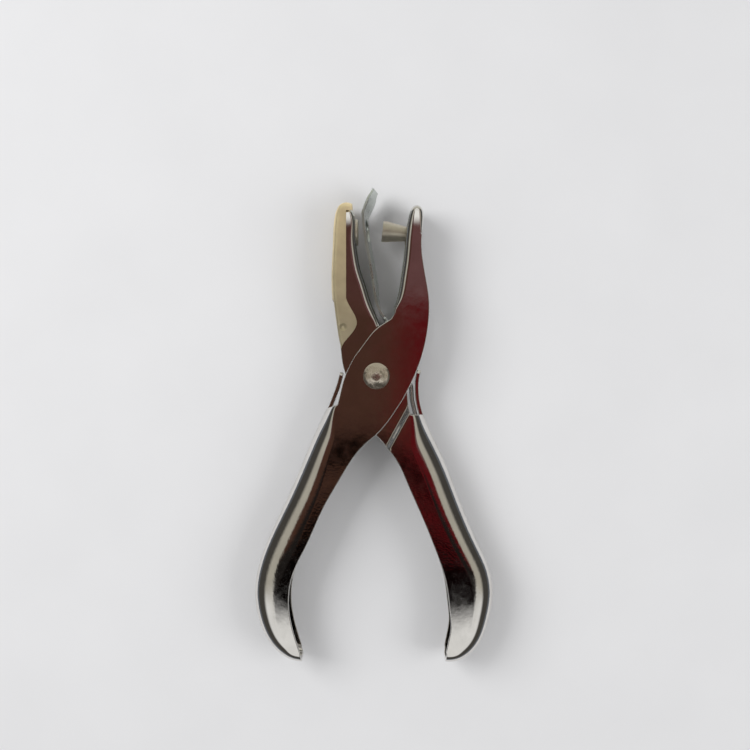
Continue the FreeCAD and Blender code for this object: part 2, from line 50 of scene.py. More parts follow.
MM = 0.001
MID = 7.45              # height of the punch's middle plane
HALF = 6.55             # from there to a cheek's outer face
INNER_HALF = 5.2        # the same where the die lever lies inside the punch lever
CHEEK_FACE = 14.0       # height of the near cheeks' outer face
GAUGE = 1.2             # of the levers' sheet
REACH = 44.0            # from the rivet to the line on which the pin works
HANDLE_SIDE, HANDLE_DEPTH = 36.8, 86.5
RIVET_HOLE, DIE_RIVET_HOLE, DIMPLE_HOLE, DIE_HOLE = 2.5, 2.55, 0.95, 3.7

# How finely the meshes are made, also in millimetres or as counts

SPLINE_PARTS = 40
EDGE = 0.24             # rounding of the sheet's cut edges
EDGE_STEPS = 4
BEND_STEPS = 12
BEND_STEP = 0.75
RIM_STEP = 0.8
CHEEK_STEP, WEB_STEP, STRIP_STEP = 1.5, 0.9, 1.2
ROW_SHARE = 0.866       # from one row of an even triangle grid to the next, in steps
RIM_SHARE = 0.55        # least distance of a grid point from a rim, in steps up to 1 mm
MERGE = 1e-7            # nearer points are one
TINY = 1e-5             # nearer points lie on the plane or on the axis


# Lines

def handle(side, depth):
    return (side * HANDLE_SIDE, -depth * HANDLE_DEPTH)


def jaw(x, share):
    return (x, share * REACH)


def nose(x, above):
    return (x, REACH + above)


def run_of(line):
    """The length from a line's start to each of its points."""
    return np.concatenate([[0], np.cumsum(np.linalg.norm(np.diff(line, axis=0), axis=1))])


def points_at(line, lengths):
    """The points of a line at some lengths from its start."""
    run = run_of(line)
    return np.column_stack([np.interp(lengths, run, line[:, c]) for c in range(line.shape[1])])


def at_share(line, share):
    return points_at(line, [share * run_of(line)[-1]])[0]


def even(points, count):
    line = np.array(points, float)
    return points_at(line, np.linspace(0, run_of(line)[-1], count + 1))


def spaced(points, step):
    return even(points, max(2, int(round(run_of(np.array(points, float))[-1] / step))))


def trimmed(line, start=0.0, end=0.0):
    """Even points along a line, less a length at either end."""
    full = run_of(line)[-1]
    count = int((full - start - end) / RIM_STEP) + 1
    return points_at(line, np.linspace(start, full - end, count))


def left_normals(line):
    way = np.gradient(line, axis=0)
    way /= np.linalg.norm(way, axis=1)[:, None]
    return np.column_stack([-way[:, 1], way[:, 0]])


def smoothstep(x, low, high):
    s = np.clip((x - low) / (high - low), 0, 1)
    return s * s * (3 - 2 * s)


def quarter(step, steps):
    """Sine and cosine after some steps of a right angle."""
    turn = step / steps * math.pi / 2
    return math.sin(turn), math.cos(turn)


def end_slope(t, p):
    """The slope at t = 0 of the curve through a line's last few points."""
    return [np.polyval(np.polyder(np.polyfit(t, p[:, c], len(t) - 1)), 0) for c in (0, 1)]


def spline(points):
    """Many points on the smooth cubic curve through the given ones."""
    p = np.array(points, float)
    t = run_of(p)
    n = len(t)
    h = np.diff(t)
    slope = np.diff(p, axis=0) / h[:, None]
    k = min(4, n)
    a = np.zeros((n, n))
    b = np.zeros((n, 2))
    a[0, 0] = a[-1, -1] = 1
    b[0], b[-1] = end_slope(t[:k] - t[0], p[:k]), end_slope(t[-k:] - t[-1], p[-k:])
    for i in range(1, n - 1):
        a[i, i - 1:i + 2] = h[i], 2 * (h[i - 1] + h[i]), h[i - 1]
        b[i] = 3 * (h[i] * slope[i - 1] + h[i - 1] * slope[i])
    m = np.linalg.solve(a, b)
    s = np.linspace(0, 1, SPLINE_PARTS, endpoint=False)[:, None]
    fine = []
    for i in range(n - 1):
        fine.append((2 * s**3 - 3 * s**2 + 1) * p[i] + (s**3 - 2 * s**2 + s) * h[i] * m[i]
                    + (3 * s**2 - 2 * s**3) * p[i + 1] + (s**3 - s**2) * h[i] * m[i + 1])
    return np.vstack(fine + [p[-1:]])


# The levers' outlines, as in the solids: a back and a web are bent over, the rest is cut

PUNCH_BACK = spline([handle(-0.407, 0.112), handle(-0.546, 0.239), handle(-0.712, 0.408),
                     handle(-0.853, 0.535), handle(-0.967, 0.661), handle(-1.0, 0.755),
                     handle(-0.970, 0.845), handle(-0.875, 0.935), handle(-0.745, 0.985),
                     handle(-0.612, 1.0)])
PUNCH_GRIP = spline([handle(-0.608, 0.990), handle(-0.671, 0.904), handle(-0.709, 0.832),
                     handle(-0.715, 0.770), handle(-0.688, 0.699), handle(-0.571, 0.590),
                     handle(-0.432, 0.460), handle(-0.288, 0.353), handle(-0.114, 0.247),
                     handle(0.014, 0.199), handle(0.130, 0.138), handle(0.215, 0.083)])
DIE_BACK = spline([handle(0.391, 0.134), handle(0.448, 0.197), handle(0.541, 0.281),
                   handle(0.698, 0.451), handle(0.845, 0.596), handle(0.924, 0.672),
                   handle(0.957, 0.765), handle(0.922, 0.852), handle(0.846, 0.936),
                   handle(0.731, 0.985), handle(0.565, 1.0)])
DIE_GRIP = spline([handle(0.562, 0.990), handle(0.592, 0.921), handle(0.609, 0.877),
                   handle(0.601, 0.822), handle(0.560, 0.705), handle(0.500, 0.627),
                   handle(0.375, 0.494), handle(0.250, 0.373), handle(0.188, 0.314),
                   handle(0.095, 0.255), handle(0.0, 0.209)])
PUNCH_WEB = spline([jaw(5.2, 0.468), jaw(6.1, 0.520), jaw(7.35, 0.670), jaw(8.2, 0.807),
                    nose(8.9, -0.6), nose(9.5, 3.1), nose(10.1, 5.4), nose(10.8, 6.9),
                    nose(12.2, 7.6), nose(13.6, 6.9), nose(14.2, 5.3), nose(14.15, 2.6),
                    nose(13.8, -1.1)])
PUNCH_RIM = spline([nose(13.8, -1.1), jaw(13.6, 0.90), jaw(14.0, 0.791), jaw(15.0, 0.655),
                    jaw(15.8, 0.535), jaw(15.9, 0.45), jaw(15.2, 0.286), jaw(13.6, 0.130),
                    jaw(10.7, -0.039), handle(0.215, 0.083)])
DIE_WEB = spline([jaw(1.1, 0.343), jaw(-0.27, 0.428), jaw(-1.8, 0.515), jaw(-3.4, 0.634),
                  jaw(-4.85, 0.739), jaw(-5.85, 0.870), nose(-6.25, -2.0), nose(-6.3, 2.0),
                  nose(-6.7, 4.9), nose(-7.6, 6.6), nose(-9.1, 7.3), nose(-10.5, 6.7),
                  nose(-11.3, 5.1), nose(-11.6, 2.8)])
DIE_RIM = spline([nose(-11.6, 2.8), nose(-11.8, 0.0), jaw(-12.1, 0.90), jaw(-12.4, 0.76),
                  jaw(-12.45, 0.60), jaw(-12.2, 0.50), jaw(-11.7, 0.39), jaw(-11.1, 0.27),
                  jaw(-10.6, 0.145), jaw(-10.1, 0.07), jaw(-9.2, 0.0), jaw(-8.1, -0.09),
                  jaw(-6.0, -0.205), handle(-0.082, 0.162), handle(0.0, 0.209)])
PUNCH_CREST = spline([jaw(4.5, 0.393), jaw(2.7, 0.366), jaw(0.2, 0.327), jaw(-2.2, 0.268),
                      jaw(-4.7, 0.191), jaw(-6.8, 0.125), jaw(-8.3, 0.059), jaw(-9.6, -0.01),
                      jaw(-10.4, -0.073), jaw(-11.7, -0.195)])
DIE_CREST = spline([jaw(9.6, -0.19), jaw(9.3, -0.09), jaw(8.9, 0.034), jaw(7.9, 0.148),
                    jaw(6.4, 0.241), jaw(4.6, 0.314), jaw(2.7, 0.352), jaw(1.1, 0.343)])
PUNCH_TONGUE = spline([jaw(-11.1, 0.027), jaw(-11.8, -0.041), jaw(-13.1, -0.127),
                       handle(-0.401, 0.113), handle(-0.440, 0.150)])
DIE_TONGUE = spline([jaw(13.6, 0.036), jaw(12.95, -0.027), jaw(12.85, -0.091),
                     jaw(13.1, -0.168), handle(0.385, 0.135), handle(0.413, 0.168)])
FOOT_LOW = np.array(handle(0.071, 0.244))
FOOT_HIGH = np.array(jaw(9.6, -0.19))
TRAY_PIVOT = np.array(jaw(-10.0, 0.334))


# Pieces

def stand(name, data):
    """A new object in the scene."""
    thing = bpy.data.objects.new(name, data)
    bpy.context.scene.collection.objects.link(thing)
    return thing


def place(name, mesh, body, node, look):
    """A mesh piece that stands for a node of the frame. A blended one has no body here."""
    piece = stand(name, mesh)
    mesh.materials.append(look)
    if body:
        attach(piece, body)
    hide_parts(node)
    return piece


def mesh_of(name, points, faces):
    """A smooth-shaded mesh."""
    mesh = bpy.data.meshes.new(name)
    mesh.from_pydata(points, [], faces)
    mesh.update()
    for polygon in mesh.polygons:
        polygon.use_smooth = True
    return mesh


def build(name, skins, body, node, look):
    """One mesh piece from closed skins, turned into metres."""
    points, normals, faces = [], [], []
    for skin in skins:
        base = len(points)
        points += [p * MM for p in skin.points]
        normals += skin.normals
        faces += [tuple(i + base for i in face) for face in skin.faces]
    mesh = mesh_of(name, points, faces)
    mesh.normals_split_custom_set_from_vertices([tuple(n) for n in normals])
    place(name, mesh, body, node, look)


# Sheet metal: an outer skin with its normals, made into a closed sheet with rounded edges

class Skin:
    def __init__(self):
        self.points, self.normals, self.inward, self.faces = [], [], [], []

    def add(self, point, normal, inward=None):
        self.points.append(Vector(point))
        self.normals.append(Vector(normal).normalized())
        self.inward.append(Vector(inward) if inward else -self.normals[-1])
        return len(self.points) - 1

    def quads(self, rows):
        for low, high in zip(rows, rows[1:]):
            self.faces += zip(low, low[1:], high[1:], high)

    def fill(self, loops, onto, step, extra=()):
        """Triangles inside loops of (index, flat point), with points between them on onto()."""
        flat = [Vector(uv) for loop in loops for _, uv in loop]
        known = [index for loop in loops for index, _ in loop]
        edges, start = [], 0
        for loop in loops:
            n = len(loop)
            edges += [(start + i, start + (i + 1) % n) for i in range(n)]
            start += n
        rims = [np.array([tuple(uv) for _, uv in loop]) for loop in loops]
        low = np.min(rims[0], axis=0)
        high = np.max(rims[0], axis=0)
        grid = []
        for row, v in enumerate(np.arange(low[1] + step / 2, high[1], step * ROW_SHARE)):
            shift = step / 2 if row % 2 else 0
            grid += [(u, v) for u in np.arange(low[0] + shift, high[0], step)]
        grid = np.array(grid + [tuple(e) for e in extra])
        keep = inside(grid, rims)
        every = np.vstack(rims)
        for i in np.nonzero(keep)[0]:
            gap = np.min(np.hypot(every[:, 0] - grid[i, 0], every[:, 1] - grid[i, 1]))
            keep[i] = gap > RIM_SHARE * min(step, 1.0)
        flat += [Vector(uv) for uv in grid[keep]]
        out, _, tris, origin, _, _ = delaunay_2d_cdt(flat, edges, [], 1, MERGE)
        index = []
        for spot, old in zip(out, origin):
            old = [o for o in old if o < len(known)]
            index.append(known[old[0]] if old else self.add(*onto(spot.x, spot.y)))
        holes = [{i for i, _ in loop} for loop in loops[1:]]
        for tri in tris:
            face = tuple(index[i] for i in tri)
            if not any(hole.issuperset(face) for hole in holes):
                self.faces.append(face)

    def mirror(self):
        """Adds the rear half, sharing what lies on the middle plane."""
        twin = {}
        for i in range(len(self.points)):
            p, n, w = self.points[i], self.normals[i], self.inward[i]
            twin[i] = i if abs(p.z - MID) < TINY else self.add(
                (p.x, p.y, 2 * MID - p.z), (n.x, n.y, -n.z), (w.x, w.y, -w.z))
        self.faces += [tuple(twin[i] for i in reversed(face)) for face in list(self.faces)]

    def orient(self):
        """Turns neighbouring faces the same way round, and the whole along the normals."""
        owners = {}
        for k, face in enumerate(self.faces):
            for a, b in zip(face, face[1:] + face[:1]):
                owners.setdefault((min(a, b), max(a, b)), []).append(k)
        done = [False] * len(self.faces)
        for seed in range(len(self.faces)):
            if done[seed]:
                continue
            done[seed] = True
            group, queue, total = [], [seed], 0.0
            while queue:
                k = queue.pop()
                group.append(k)
                face = self.faces[k]
                a, b, c = (self.points[i] for i in face[:3])
                facing = sum((self.normals[i] for i in face), Vector())
                total += (b - a).cross(c - a).dot(facing)
                for a, b in zip(face, face[1:] + face[:1]):
                    for other in owners[min(a, b), max(a, b)]:
                        if not done[other]:
                            done[other] = True
                            twin = self.faces[other]
                            if (a, b) in zip(twin, twin[1:] + twin[:1]):
                                self.faces[other] = twin[::-1]
                            queue.append(other)
            if total < 0:
                for k in group:
                    self.faces[k] = self.faces[k][::-1]

    def thicken(self, gauge, edge=EDGE):
        """Gives the skin a gauge, with a rounded rim wherever it was open."""
        self.orient()
        directed = {(f[i], f[(i + 1) % len(f)]) for f in self.faces for i in range(len(f))}
        follow = {a: b for a, b in directed if (b, a) not in directed}
        before = {b: a for a, b in follow.items()}
        out = {}
        for i in follow:
            along = (self.points[follow[i]] - self.points[i]).normalized()
            along += (self.points[i] - self.points[before[i]]).normalized()
            out[i] = along.cross(self.normals[i]).normalized()
        for i, way in out.items():
            self.points[i] = self.points[i] - way * edge
        count = len(self.points)
        outer = list(self.faces)
        for i in range(count):
            self.add(self.points[i] + self.inward[i] * gauge, -self.normals[i])
        self.faces += [tuple(i + count for i in reversed(face)) for face in outer]
        rings = {}
        for i, way in out.items():
            p, n = self.points[i], -self.inward[i]
            ring = [i]
            for k in range(1, EDGE_STEPS + 1):
                s, c = quarter(k, EDGE_STEPS)
                ring.append(self.add(p + way * edge * s - n * edge * (1 - c), way * s + n * c))
            for k in range(EDGE_STEPS):
                s, c = quarter(k, EDGE_STEPS)
                depth = gauge - edge + edge * s
                ring.append(self.add(p + way * edge * c - n * depth, way * c - n * s))
            rings[i] = ring + [i + count]
        for i, j in follow.items():
            self.quads([rings[i], rings[j]])
        self.orient()


def inside(points, rims):
    """Even-odd test of flat points against closed loops."""
    x, y = points[:, 0], points[:, 1]
    odd = np.zeros(len(points), bool)
    for rim in rims:
        for (x1, y1), (x2, y2) in zip(rim, np.roll(rim, -1, axis=0)):
            cross = (y1 > y) != (y2 > y)
            with np.errstate(divide="ignore", invalid="ignore"):
                odd ^= cross & (x < (x2 - x1) * (y - y1) / (y2 - y1) + x1)
    return odd


SHALLOWEST = 0.2        # least reach of a bend, where it runs out
SOFTENING = 7           # rows over which a bend's sizes are evened out
HOLE_GAP = 0.3          # least distance of the middle plane's points from a web's hole
HOLE_POINTS, END_POINTS = 19, 4


def bend(skin, curve, side, profile, level, first, last, runout, hole=None):
    """A cheek turned down into a web, to the middle plane. side is +1 where the metal lies to
    the curve's left, and profile gives the bend's reach and drop along the curve. first and
    last are where its two ends meet the flat cheek, over the runout's length.
    Returns the cheek-side row as (index, flat point)."""
    line = spaced(curve, BEND_STEP)
    share = np.linspace(0, 1, len(line))
    run = run_of(line)
    norms = left_normals(line) * side
    spots, reach, drop = (np.array(v) for v in zip(*profile))
    reach, drop = (softened(np.interp(share, spots, v)) for v in (reach, drop))
    rows, rim = [], []
    for p, n, a, radius, u in zip(line, norms, reach, drop, run):
        arm = n * a
        arm = arm + (np.array(first) - line[0] - arm) * (1 - smoothstep(u, 0, runout))
        if last:
            near_end = smoothstep(u, run[-1] - runout, run[-1])
            arm = arm + (np.array(last) - line[-1] - arm) * near_end
        deep = max(float(arm @ n), SHALLOWEST)
        inner = p + arm
        top, up = level(*inner)
        row = []
        for k in range(BEND_STEPS + 1):
            s, c = quarter(k, BEND_STEPS)
            spot = p + arm * (1 - s)
            out = up if k == 0 else Vector((-n[0] * radius * s, -n[1] * radius * s, deep * c))
            row.append(skin.add((spot[0], spot[1], MID + top - radius * (1 - c)), out,
                                (0, 0, -1) if k == 0 else None))
        rows.append(row)
        rim.append((row[0], tuple(inner)))
    skin.quads(rows)
    web(skin, [row[-1] for row in rows], line, norms, run, hole)
    return rim


def softened(values):
    ends = SOFTENING // 2
    padded = np.concatenate([[values[0]] * ends, values, [values[-1]] * ends])
    return np.convolve(padded, np.ones(SOFTENING) / SOFTENING, "valid")


def web(skin, top, line, norms, run, hole):
    """The upright wall from a bend's lower row down to the middle plane."""
    def wall(u, z):
        x, y, nx, ny = (float(np.interp(u, run, v)) for v in (*line.T, *norms.T))
        return (x, y, MID + z), (-nx, -ny, 0)

    high = [skin.points[i].z - MID for i in top]
    loop = [(i, (u, z)) for i, u, z in zip(top, run, high)]
    ways = [(run[-1], z) for z in np.linspace(high[-1], 0, END_POINTS)[1:]]
    low = list(run[::-1][1:-1])
    if hole:
        centre, radius = hole
        ways += [(u, 0.0) for u in low if u > centre + radius + HOLE_GAP]
        ways += [(centre + radius * math.cos(a), max(0.0, radius * math.sin(a)))
                 for a in np.linspace(0, math.pi, HOLE_POINTS)]
        ways += [(u, 0.0) for u in low if u < centre - radius - HOLE_GAP]
    else:
        ways += [(u, 0.0) for u in low]
    ways += [(0.0, z) for z in np.linspace(0, high[0], END_POINTS)[:-1]]
    loop += [(skin.add(*wall(u, z)), (u, z)) for u, z in ways]
    skin.fill([loop], wall, WEB_STEP)


def field(height):
    """A cheek's level and normal from a height function of x and y."""
    def level(x, y):
        step = 0.02
        dx = (height(x + step, y) - height(x - step, y)) / (2 * step)
        dy = (height(x, y + step) - height(x, y - step)) / (2 * step)
        return height(x, y), Vector((-dx, -dy, 1)).normalized()
    return level


def on_cheek(level):
    def spot(x, y):
        z, n = level(x, y)
        return (x, y, MID + z), n, (0, 0, -1)
    return spot


def free_edge(skin, points, level):
    """Vertices along a cut edge of a cheek."""
    return [(skin.add(*on_cheek(level)(x, y)), (x, y)) for x, y in points]


def round_hole(skin, centre, radius, level, count=28):
    turns = [2 * math.pi * k / count for k in range(count)]
    return free_edge(skin, [(centre[0] + radius * math.cos(turn),
                             centre[1] + radius * math.sin(turn)) for turn in turns], level)


def tongue(curve, side):
    """The narrow strip of web that runs on past the rivet."""
    half, length_parts, width_points = 3.3, 14, 7
    skin = Skin()
    line = even(curve, length_parts)
    ways = left_normals(line) * side
    skin.quads([[skin.add((x, y, MID + z), (nx, ny, 0))
                 for z in np.linspace(-half, half, width_points)]
                for (x, y), (nx, ny) in zip(line, ways)])
    skin.thicken(GAUGE)
    return skin


# Turned pieces: the pin, the die and the rivet

PIN_LENGTH = 7.1
PIN_DROP = 0.6          # how far the pin's seat lies below the line on which it works
DIE_STAND = 0.75        # how far the die stands out of its web
BITE = 0.4              # how far the pin's tip goes past the die's face


def seat(curve, height):
    """The point of a web at a height, near the jaws' working level, and its left normal."""
    earlier = 0.01 * np.arange(len(curve)) / len(curve)
    near = int(np.argmin(np.abs(curve[:, 1] - height) + earlier))
    return curve[near], left_normals(curve)[near]


PIN_SEAT, PIN_WAY = seat(PUNCH_WEB, REACH - PIN_DROP)
PIN_TIP = PIN_SEAT + PIN_WAY * PIN_LENGTH
FACE_X = seat(DIE_WEB, REACH)[0][0] + DIE_STAND
DIE_SEAT, DIE_WAY = seat(DIE_WEB, math.sqrt(PIN_TIP @ PIN_TIP - (FACE_X - BITE) ** 2))


def eased(profile, radius):
    """A profile with each corner between its ends turned into a small arc."""
    most, arc = 0.45, (0.0, 0.25, 0.5, 0.75, 1.0)
    p = [np.array(v, float) for v in profile]
    done = [p[0]]
    for before, at, after in zip(p, p[1:], p[2:]):
        arms = [before - at, after - at]
        cut = min([radius] + [np.linalg.norm(arm) * most for arm in arms])
        a, b = (at + arm / np.linalg.norm(arm) * cut for arm in arms)
        done += [(1 - t) ** 2 * a + 2 * t * (1 - t) * at + t ** 2 * b for t in arc]
    return done + [p[-1]]


def turned(name, profile, spot, axis, closed, body, node, look):
    """A profile of (radius, distance) turned round an axis; closed joins its two ends."""
    around, crease = 72, 32
    axis = Vector(axis).normalized()
    side = axis.orthogonal().normalized()
    other = axis.cross(side)
    points, faces, rings = [], [], []
    for radius, far in profile:
        middle = Vector(spot) + axis * far
        if radius < TINY:
            rings.append([len(points)] * around)
            points.append(middle * MM)
            continue
        rings.append(list(range(len(points), len(points) + around)))
        for k in range(around):
            turn = 2 * math.pi * k / around
            out = side * math.cos(turn) + other * math.sin(turn)
            points.append((middle + out * radius) * MM)
    pairs = list(zip(rings, rings[1:])) + ([(rings[-1], rings[0])] if closed else [])
    for low, high in pairs:
        for k in range(around):
            j = (k + 1) % around
            faces.append(tuple(dict.fromkeys((low[k], low[j], high[j], high[k]))))
    mesh = mesh_of(name, points, faces)
    work = bmesh.new()
    work.from_mesh(mesh)
    bmesh.ops.recalc_face_normals(work, faces=work.faces)
    work.to_mesh(mesh)
    work.free()
    mesh.set_sharp_from_angle(angle=math.radians(crease))
    place(name, mesh, body, node, look)


def punch_pin(look):
    """A cone with a dished tip, and behind it the neck and head that rivet it to the jaw."""
    head, neck, root, tip = 2.3, 1.7, 2.25, 3.175
    cone, dish, back = 5.9, 0.6, 1.9
    profile = [(0, -back), (head, -back), (head, -GAUGE), (neck, -GAUGE), (neck, 0), (root, 0),
               (tip, cone), (tip, PIN_LENGTH), (0, PIN_LENGTH - dish)]
    turned("Punch_pin", eased(profile, 0.12), (*PIN_SEAT, MID), (*PIN_WAY, 0), False,
           "punch_body", "punch_pin", look)


def die_bush(look):
    bore, lip, outer, back, bevel = 3.375, 3.81, 4.025, 1.6, 0.22
    start = (3.6, -back)
    profile = eased([start, (outer, -back), (outer, DIE_STAND - bevel), (lip, DIE_STAND),
                     (bore, DIE_STAND), (bore, -back), start], 0.1)[:-1]
    turned("Die_bush", profile, (*DIE_SEAT, MID), (*-DIE_WAY, 0), True, "die_body",
           "die_bush", look)


def pivot_rivet(look):
    """A flat head below, a shank, and a domed head on the near cheek."""
    head, crown, edge, dome_points = 3.95, 1.4, 0.28, 16
    rear, rear_bevel, rear_top, shank = 3.7, 0.3, 0.9, 2.5
    sphere = (head ** 2 + (crown - edge) ** 2) / (2 * (crown - edge))
    widest = math.asin(head / sphere)
    dome = [(sphere * math.sin(widest * t),
             CHEEK_FACE + crown - sphere + sphere * math.cos(widest * t))
            for t in np.linspace(0.97, 0, dome_points)]
    profile = eased([(0, 0), (rear - rear_bevel, 0), (rear, rear_bevel), (rear, rear_top),
                     (shank, rear_top), (shank, CHEEK_FACE), (head, CHEEK_FACE),
                     (head, CHEEK_FACE + edge), dome[0]], 0.12) + dome[1:]
    turned("Pivot_rivet", profile, (0, 0, 0), (0, 0, 1), False, "punch_body",
           "pivot_rivet", look)


# The two levers. A bend's rows are (share of its length, reach over the cheek, drop).

JAW_BEND = [(0.0, 1.4, 1.4), (0.12, 2.1, 1.6), (0.58, 2.1, 1.6), (0.72, 1.4, 1.4),
            (0.90, 1.4, 1.4), (1.0, 0.3, 0.3)]
PUNCH_BEND = [(0.0, 5.0, 5.0), (0.10, 6.5, 4.9), (0.28, 8.6, 4.7), (0.48, 9.4, 4.3),
              (0.64, 7.6, 3.8), (0.82, 5.0, 3.2), (1.0, 2.8, 2.6)]
DIE_BEND = [(0.0, 6.0, 5.0), (0.10, 7.6, 4.9), (0.30, 8.2, 4.6), (0.50, 7.4, 4.2),
            (0.66, 6.4, 3.8), (0.82, 4.6, 3.2), (1.0, 2.8, 2.6)]
JAW_RUNOUT, HANDLE_RUNOUT = 4.0, 8.0
PUNCH_CROTCH, PUNCH_END = (5.55, 19.1), (-23.1, -83.9)
DIE_CROTCH, DIE_SHOULDER, DIE_END = (-0.26, 14.7), (10.2, -11.6), (21.2, -83.9)

# Lengths of the cut edges that the ends of the bends take up

GRIP_TRIM = 2.2
PUNCH_RIM_TRIM, PUNCH_CREST_TRIM = 0.45, 0.8
DIE_RIM_TRIM, DIE_CREST_TRIM = 0.7, 1.5

# The step across the die cheek, as distances of its rows, and how the cheeks fall away

RAMP = (0.0, 0.45, 0.95, 1.45, 1.9)
TAIL, TAIL_SPAN, TAIL_FALL, TAIL_EASE = -56.0, 32, 0.0019, 0.012
SNOUT, SNOUT_SPAN, SNOUT_FALL = 43.0, 9, 0.012


def rounded(y):
    """How far a cheek falls away towards the handle ends and the jaw noses."""
    tail = np.clip(TAIL - y, 0, TAIL_SPAN)
    snout = np.clip(y - SNOUT, 0, SNOUT_SPAN)
    return TAIL_FALL * tail ** 2 / (1 + TAIL_EASE * tail) + SNOUT_FALL * snout ** 2


def punch_level(x, y):
    return HALF - rounded(y)


def die_level(x, y):
    line = (FOOT_HIGH - FOOT_LOW) / np.linalg.norm(FOOT_HIGH - FOOT_LOW)
    off = (x - FOOT_LOW[0]) * line[1] - (y - FOOT_LOW[1]) * line[0]
    outer = float(smoothstep(off, RAMP[0], RAMP[-1]))
    return INNER_HALF + (HALF - INNER_HALF) * outer - rounded(y)


def lever(name, skin, loops, level, extra, curve, side, body, node, look):
    """Fills a lever's near cheek, doubles it, gives it its gauge and adds the tongue."""
    skin.fill(loops, on_cheek(level), CHEEK_STEP, extra)
    skin.mirror()
    skin.thicken(GAUGE)
    build(name, [skin, tongue(curve, side)], body, node, look)


def punch_lever(look):
    level = field(punch_level)
    skin = Skin()
    jaw_rim = bend(skin, PUNCH_WEB, -1, JAW_BEND, level, PUNCH_CROTCH, None, JAW_RUNOUT)
    back_rim = bend(skin, PUNCH_BACK, 1, PUNCH_BEND, level, tuple(PUNCH_CREST[-1]), PUNCH_END,
                    HANDLE_RUNOUT)
    loop = (jaw_rim
            + free_edge(skin, trimmed(PUNCH_RIM, PUNCH_RIM_TRIM), level)
            + free_edge(skin, trimmed(PUNCH_GRIP, GRIP_TRIM)[::-1][1:], level)
            + back_rim[::-1]
            + free_edge(skin, trimmed(PUNCH_CREST, end=PUNCH_CREST_TRIM)[::-1], level))
    loops = [loop, round_hole(skin, (0, 0), RIVET_HOLE, level)]
    lever("Punch_lever", skin, loops, level, (), PUNCH_TONGUE, -1, "punch_body", "punch_lever",
          look)


def die_lever(look):
    level = field(die_level)
    skin = Skin()
    centre = float(run_of(DIE_WEB)[np.argmin(np.linalg.norm(DIE_WEB - DIE_SEAT, axis=1))])
    jaw_rim = bend(skin, DIE_WEB, 1, JAW_BEND, level, DIE_CROTCH, None, JAW_RUNOUT,
                   hole=(centre, DIE_HOLE))
    back_rim = bend(skin, DIE_BACK, -1, DIE_BEND, level, DIE_SHOULDER, DIE_END, HANDLE_RUNOUT)
    shoulder = even([DIE_SHOULDER, tuple(FOOT_HIGH)], 4)[1:-1]
    line = FOOT_HIGH - FOOT_LOW
    off = np.array([line[1], -line[0]]) / np.linalg.norm(line)
    ramp_points = [FOOT_LOW + line * t + off * s for t in np.linspace(0.05, 0.95, 17)
                   for s in RAMP]
    crest = trimmed(DIE_CREST, end=DIE_CREST_TRIM)
    loop = (jaw_rim
            + free_edge(skin, trimmed(DIE_RIM, DIE_RIM_TRIM), level)
            + free_edge(skin, trimmed(DIE_GRIP, GRIP_TRIM)[::-1][1:], level)
            + back_rim[::-1]
            + free_edge(skin, list(shoulder) + list(crest), level))
    loops = [loop, round_hole(skin, (0, 0), DIE_RIVET_HOLE, level),
             round_hole(skin, TRAY_PIVOT, DIMPLE_HOLE, level, count=16)]
    lever("Die_lever", skin, loops, level, ramp_points, DIE_TONGUE, 1, "die_body", "die_lever",
          look)


# Stripper strip: a bent blade, a little twisted, with a hole for the pin and a foot in the jaw

STRIP_BEND = (-3.4, 49.1)
STRIP_LINE = spline([STRIP_BEND, (-3.0, 43.7), (-1.5, 35.24), (-0.03, 24.68), (0.27, 22.31),
                     (1.0, 20.0), (1.9, 18.3), (2.75, 17.25), (3.3, 15.84), (3.4, 12.58)])
STRIP_TIP = (-0.35, 56.6)
STRIP_GAUGE, STRIP_EDGE = 0.8, 0.2
STRIP_HALF, FOOT_HALF, TIP_TAPER = 5.0, 3.9, 1.9
TAPER_START = 53.2
FOOT_SPAN = (16.2, 17.4)
TWISTS = ((0.60, 17, 28), (0.35, 47, 52))
STRIP_HOLE = 3.5


def strip_half(y):
    """Half the strip's width at some Y of its line."""
    blade = STRIP_HALF - TIP_TAPER * smoothstep(y, TAPER_START, STRIP_TIP[1])
    return FOOT_HALF + (blade - FOOT_HALF) * smoothstep(y, *FOOT_SPAN)


def strip_twist(y):
    """How far the strip's near edge leans out at some Y of its line."""
    return sum(lean * smoothstep(y, low, high) for lean, low, high in TWISTS)


def stripper_strip(look):
    end_points, foot_points, ring_points = 8, 10, 33
    blade = even([STRIP_TIP, STRIP_BEND], SPLINE_PARTS)[:-1]
    line = spaced(np.vstack([blade, STRIP_LINE]), RIM_STEP)
    run = run_of(line)
    norms = -left_normals(line)

    def face(u, z):
        x, y, nx, ny = (float(np.interp(u, run, v)) for v in (*line.T, *norms.T))
        twist = strip_twist(y)
        lean = STRIP_GAUGE / 2 + twist * z / STRIP_HALF
        return (x + nx * lean, y + ny * lean, MID + z), (nx, ny, -twist / STRIP_HALF)

    edge = [(u, float(strip_half(np.interp(u, run, line[:, 1])))) for u in run]
    end = [(0.0, z) for z in np.linspace(-edge[0][1], edge[0][1], end_points)[1:-1]]
    foot = [(run[-1], z) for z in np.linspace(edge[-1][1], -edge[-1][1], foot_points)[1:-1]]
    around = end + edge + foot + [(u, -z) for u, z in reversed(edge)]
    centre = float(np.interp(-np.linalg.norm(PIN_TIP), -line[:, 1], run))
    ring = [(centre + STRIP_HOLE * math.cos(a), STRIP_HOLE * math.sin(a))
            for a in np.linspace(0, 2 * math.pi, ring_points)[:-1]]
    skin = Skin()
    loops = [[(skin.add(*face(u, z)), (u, z)) for u, z in loop] for loop in (around, ring)]
    skin.fill(loops, face, STRIP_STEP)
    skin.thicken(STRIP_GAUGE, STRIP_EDGE)
    build("Stripper_strip", [skin], "die_body", "stripper_strip", look)


# Return spring: three turns of wire on the bush, one leg in each handle

